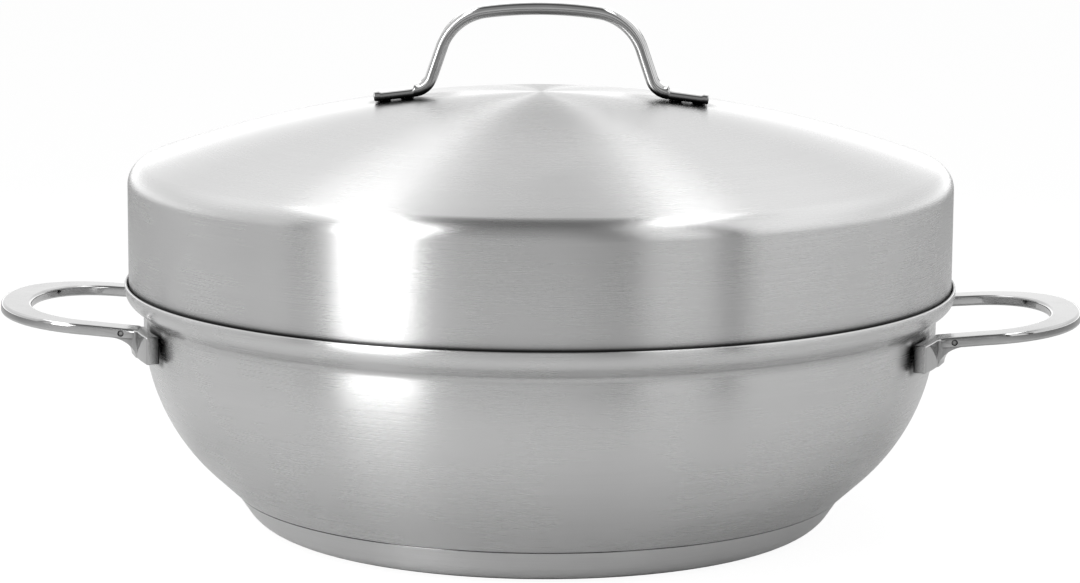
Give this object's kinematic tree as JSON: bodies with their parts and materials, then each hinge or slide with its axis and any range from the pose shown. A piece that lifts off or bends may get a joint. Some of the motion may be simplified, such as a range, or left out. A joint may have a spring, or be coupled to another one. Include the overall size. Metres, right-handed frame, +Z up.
{
  "type": "stovetop smoker",
  "caption": "Round steel smoking pan with a sandwich base, loop side handles, a tall domed lid with an arched handle, and a drip tray and wire rack inside.",
  "frame": {"origin": "on the ground, at the middle of the base's underside, on the pan's axis", "axes": "+X towards the right side handle, +Z up along the pan's axis, -Y towards the viewer"},
  "size_m": [0.3726, 0.2856, 0.1798],
  "materials": {
    "brushed_steel": "fine brushing round the axis",
    "polished_steel": "polished",
    "tray_steel": "satin",
    "aluminium_core": "plain",
    "rack_wire": "bright"
  },
  "bodies": {
    "pan": {"pan_body": "brushed_steel", "base_core_disc": "aluminium_core", "base_cap": "brushed_steel", "side_handle_left": "polished_steel", "side_handle_right": "polished_steel"},
    "drip_tray": {"drip_tray": "tray_steel"},
    "rack": {"rack_ring": "rack_wire", "rack_bar_01": "rack_wire", "rack_bar_02": "rack_wire", "rack_bar_03": "rack_wire", "rack_bar_04": "rack_wire", "rack_bar_05": "rack_wire", "rack_bar_06": "rack_wire", "rack_bar_07": "rack_wire", "rack_bar_08": "rack_wire", "rack_bar_09": "rack_wire", "rack_bar_10": "rack_wire", "rack_bar_11": "rack_wire", "rack_bar_12": "rack_wire", "rack_bar_13": "rack_wire", "rack_bar_14": "rack_wire", "rack_bar_15": "rack_wire", "rack_cross_bar_left": "rack_wire", "rack_cross_bar_right": "rack_wire", "rack_lug_front": "rack_wire", "rack_lug_back": "rack_wire"},
    "lid": {"lid_shell": "brushed_steel", "lid_handle": "polished_steel"}
  },
  "joints": [
    {"name": "tray_lift", "type": "slide", "parent": "pan", "child": "drip_tray", "axis": [0, 0, 1], "range_m": [0, 0.08]},
    {"name": "rack_lift", "type": "slide", "parent": "drip_tray", "child": "rack", "axis": [0, 0, 1], "range_m": [0, 0.08]},
    {"name": "lid_lift", "type": "slide", "parent": "rack", "child": "lid", "axis": [0, 0, 1], "range_m": [0, 0.12]}
  ]
}
